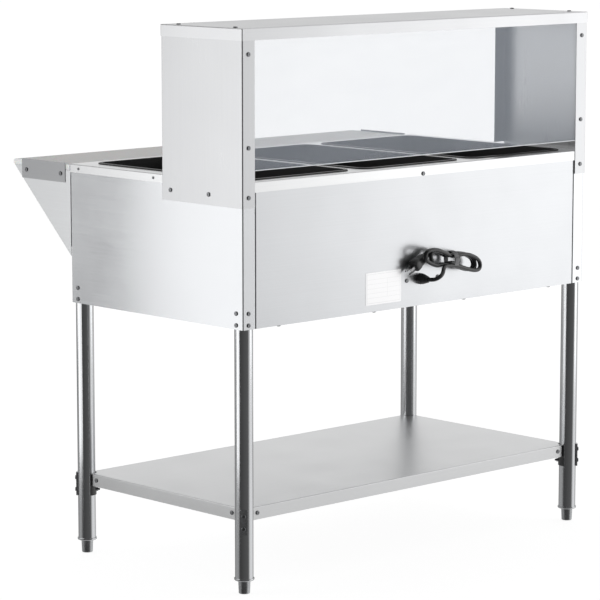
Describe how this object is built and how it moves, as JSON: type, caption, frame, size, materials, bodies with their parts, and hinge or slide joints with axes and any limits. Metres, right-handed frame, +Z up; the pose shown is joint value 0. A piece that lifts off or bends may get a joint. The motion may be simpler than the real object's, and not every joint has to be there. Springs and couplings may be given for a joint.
{
  "type": "steam table unit",
  "caption": "Electric steam table with open heated wells, overshelf with clear guard, cutting board ledge, undershelf, tube legs and a tied supply cord.",
  "frame": {"origin": "on the floor, in the middle of the overall length and depth of the table without its cord", "axes": "+Z up, +Y towards the customer side with the clear guard, -Y towards the operator side with the cutting board and knobs, +X along the length"},
  "size_m": [1.125, 0.8588, 1.2493],
  "materials": {
    "stainless_sheet": "fine brushed",
    "black_enamel": "satin black",
    "element_sheath": "dull dark",
    "glass_wool": "matt",
    "polished_tube": "polished",
    "zinc_plate": "zinc plated, satin",
    "black_paint": "satin black",
    "screw_steel": "bright",
    "clear_sheet": "clear, smooth",
    "board_plastic": "matt white",
    "knob_plastic": "semi-gloss black",
    "switch_plastic": "matt brown",
    "lens_plastic": "gloss red",
    "relief_plastic": "matt black",
    "label_foil": "matt, blank",
    "cord_rubber": "matt black",
    "tie_plastic": "matt grey",
    "plug_plastic": "matt dark grey"
  },
  "bodies": {
    "table": {"top_deck": "stainless_sheet", "end_panel_right": "stainless_sheet", "end_panel_left": "stainless_sheet", "back_panel": "stainless_sheet", "control_panel": "stainless_sheet", "bottom_panel": "stainless_sheet", "undershelf": "stainless_sheet", "overshelf_top": "stainless_sheet", "overshelf_end_right": "stainless_sheet", "overshelf_end_left": "stainless_sheet", "ledge_gusset_right": "stainless_sheet", "ledge_gusset_left": "stainless_sheet", "ledge_end_plate_right": "stainless_sheet", "ledge_end_plate_left": "stainless_sheet", "well_liner_1": "black_enamel", "well_liner_2": "black_enamel", "well_liner_3": "black_enamel", "heating_element_1": "element_sheath", "heating_element_2": "element_sheath", "heating_element_3": "element_sheath", "element_supports": "element_sheath", "well_insulation": "glass_wool", "leg_1": "polished_tube", "leg_2": "polished_tube", "leg_3": "polished_tube", "leg_4": "polished_tube", "leg_inserts": "polished_tube", "leg_sockets": "zinc_plate", "leg_clamp_plates": "zinc_plate", "shelf_saddles": "black_paint", "shelf_bolts": "screw_steel", "body_screws": "screw_steel", "overshelf_screws": "screw_steel", "ledge_screws": "screw_steel", "bushing_nuts": "screw_steel", "sneeze_guard": "clear_sheet", "heat_switch_1": "switch_plastic", "heat_switch_2": "switch_plastic", "heat_switch_3": "switch_plastic", "pilot_lights": "lens_plastic", "terminal_box": "zinc_plate", "strain_relief": "relief_plastic", "relief_locknut": "relief_plastic", "label_plate": "label_foil", "cord_lead": "cord_rubber", "cord_hank": "cord_rubber", "cable_tie": "tie_plastic", "plug_body": "plug_plastic", "plug_blades": "screw_steel"},
    "knob_1": {"knob_1": "knob_plastic", "switch_shaft_1": "zinc_plate"},
    "knob_2": {"knob_2": "knob_plastic", "switch_shaft_2": "zinc_plate"},
    "knob_3": {"knob_3": "knob_plastic", "switch_shaft_3": "zinc_plate"},
    "foot_1": {"foot_1": "zinc_plate"},
    "foot_2": {"foot_2": "zinc_plate"},
    "foot_3": {"foot_3": "zinc_plate"},
    "foot_4": {"foot_4": "zinc_plate"},
    "cutting_board": {"cutting_board": "board_plastic"}
  },
  "joints": [
    {"name": "knob_1_turn", "type": "hinge", "parent": "table", "child": "knob_1", "pos_m": [-0.3556, -0.20075, 0.654], "axis": [0, 1, 0], "range_deg": [0, 300]},
    {"name": "knob_2_turn", "type": "hinge", "parent": "table", "child": "knob_2", "pos_m": [0, -0.20075, 0.654], "axis": [0, 1, 0], "range_deg": [0, 300]},
    {"name": "knob_3_turn", "type": "hinge", "parent": "table", "child": "knob_3", "pos_m": [0.3556, -0.20075, 0.654], "axis": [0, 1, 0], "range_deg": [0, 300]},
    {"name": "foot_1_height", "type": "slide", "parent": "table", "child": "foot_1", "axis": [0, 0, -1], "range_m": [0, 0.025]},
    {"name": "foot_2_height", "type": "slide", "parent": "table", "child": "foot_2", "axis": [0, 0, -1], "range_m": [0, 0.025]},
    {"name": "foot_3_height", "type": "slide", "parent": "table", "child": "foot_3", "axis": [0, 0, -1], "range_m": [0, 0.025]},
    {"name": "foot_4_height", "type": "slide", "parent": "table", "child": "foot_4", "axis": [0, 0, -1], "range_m": [0, 0.025]},
    {"name": "cutting_board_lift", "type": "slide", "parent": "table", "child": "cutting_board", "axis": [0, 0, 1], "range_m": [0, 0.06]}
  ]
}
